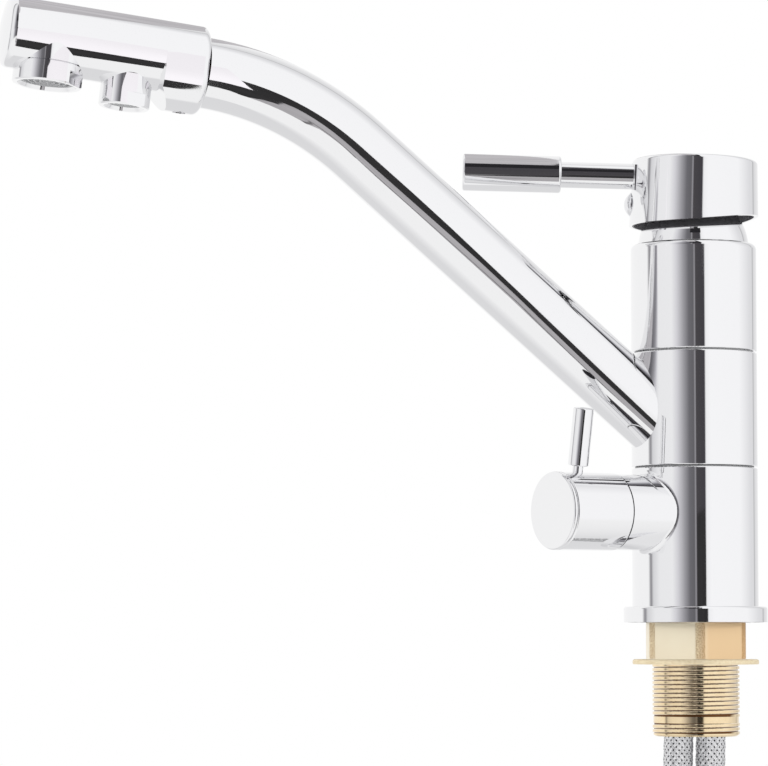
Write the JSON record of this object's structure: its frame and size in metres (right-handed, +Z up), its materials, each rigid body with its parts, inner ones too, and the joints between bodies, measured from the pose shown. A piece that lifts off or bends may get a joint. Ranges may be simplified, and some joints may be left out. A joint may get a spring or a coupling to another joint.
{
  "type": "basin mixer tap",
  "caption": "Single-lever mixer tap with a swivelling angled spout, a side valve for filtered water, two outlets in the spout head, a threaded shank and braided tails.",
  "frame": {"origin": "centre of the base flange's underside, on the column's axis", "axes": "+Z up along the column, -Y forward along the filter valve, +X to the right as seen from the front"},
  "size_m": [0.1136, 0.3021, 0.5786],
  "materials": {
    "chrome_plate": "polished chrome plating on brass",
    "bare_brass": "machined, unplated",
    "stainless_steel": "bright stainless steel",
    "steel_braid": "braided stainless wire over rubber hose",
    "black_rubber": "matte nitrile rubber",
    "moulded_plastic": "moulded acetal",
    "alumina_ceramic": "lapped alumina ceramic",
    "index_plastic": "glossy grey moulded button"
  },
  "bodies": {
    "column": {"base_flange": "chrome_plate", "base_gasket": "black_rubber", "lower_body": "chrome_plate", "slip_rings": "moulded_plastic", "swivel_orings": "black_rubber", "cartridge_housing": "chrome_plate", "dome_collar": "chrome_plate", "cartridge_nut": "bare_brass", "cartridge_case": "moulded_plastic", "cartridge_base": "moulded_plastic", "cartridge_seals": "black_rubber", "fixed_disc": "alumina_ceramic", "shank": "bare_brass", "lock_nut": "bare_brass", "clamp_washer": "bare_brass", "tail_stems": "bare_brass", "tail_ferrules": "stainless_steel", "hot_tail": "steel_braid", "cold_tail": "steel_braid", "end_ferrules": "stainless_steel", "end_stems": "bare_brass", "end_seals": "black_rubber", "valve_headwork": "bare_brass", "valve_fixed_disc": "alumina_ceramic", "valve_seal": "black_rubber"},
    "rotor": {"cartridge_rotor": "moulded_plastic"},
    "disc": {"moving_disc": "alumina_ceramic", "disc_carrier": "moulded_plastic"},
    "lever": {"lever_cap": "chrome_plate", "lever_rod": "chrome_plate", "lever_grip": "chrome_plate", "index_plug": "index_plastic", "lever_screw": "stainless_steel", "cartridge_stem": "stainless_steel"},
    "spout": {"swivel_ring": "chrome_plate", "spout_tube": "chrome_plate", "filter_tube": "moulded_plastic", "head_spigot": "bare_brass", "spigot_oring": "black_rubber", "spout_head": "chrome_plate", "head_cap": "chrome_plate", "head_screw": "stainless_steel", "main_aerator_collar": "chrome_plate", "main_aerator_insert": "moulded_plastic", "main_aerator_seal": "black_rubber", "filter_aerator_collar": "chrome_plate", "filter_aerator_insert": "moulded_plastic", "filter_aerator_seal": "black_rubber"},
    "valve_handle": {"filter_knob": "chrome_plate", "knob_cap": "chrome_plate", "knob_stick": "chrome_plate", "knob_screw": "stainless_steel", "valve_spindle": "bare_brass", "valve_moving_disc": "alumina_ceramic"},
    "hot_nut": {"hot_tail_nut": "bare_brass"},
    "cold_nut": {"cold_tail_nut": "bare_brass"}
  },
  "joints": [
    {"name": "lever_turn", "type": "hinge", "parent": "column", "child": "rotor", "pos_m": [0, 0, 0.149], "axis": [0, 0, 1], "range_deg": [-17.7, 82.3]},
    {"name": "lever_lift", "type": "hinge", "parent": "rotor", "child": "lever", "pos_m": [0, 0, 0.149], "axis": [-0.8453, 0.5344, 0], "range_deg": [0, 22]},
    {"name": "disc_slide", "type": "slide", "parent": "rotor", "child": "disc", "axis": [-0.5344, -0.8453, 0], "range_m": [0, 0.0076]},
    {"name": "spout_swivel", "type": "hinge", "parent": "column", "child": "spout", "pos_m": [0, 0, 0.084], "axis": [0, 0, 1], "continuous": true},
    {"name": "filter_turn", "type": "hinge", "parent": "column", "child": "valve_handle", "pos_m": [0, -0.04, 0.043], "axis": [0, 1, 0], "range_deg": [-10, 80]},
    {"name": "hot_nut_turn", "type": "hinge", "parent": "column", "child": "hot_nut", "pos_m": [-0.00437, -0.01466, -0.333], "axis": [0.0095, 0.015, -0.9998], "continuous": true},
    {"name": "cold_nut_turn", "type": "hinge", "parent": "column", "child": "cold_nut", "pos_m": [0.01108, 0.01078, -0.333], "axis": [-0.0095, -0.015, -0.9998], "continuous": true}
  ],
  "couplings": [
    {"joint": "disc_slide", "follows": "lever_lift", "m_per_rad": 0.01938}
  ]
}
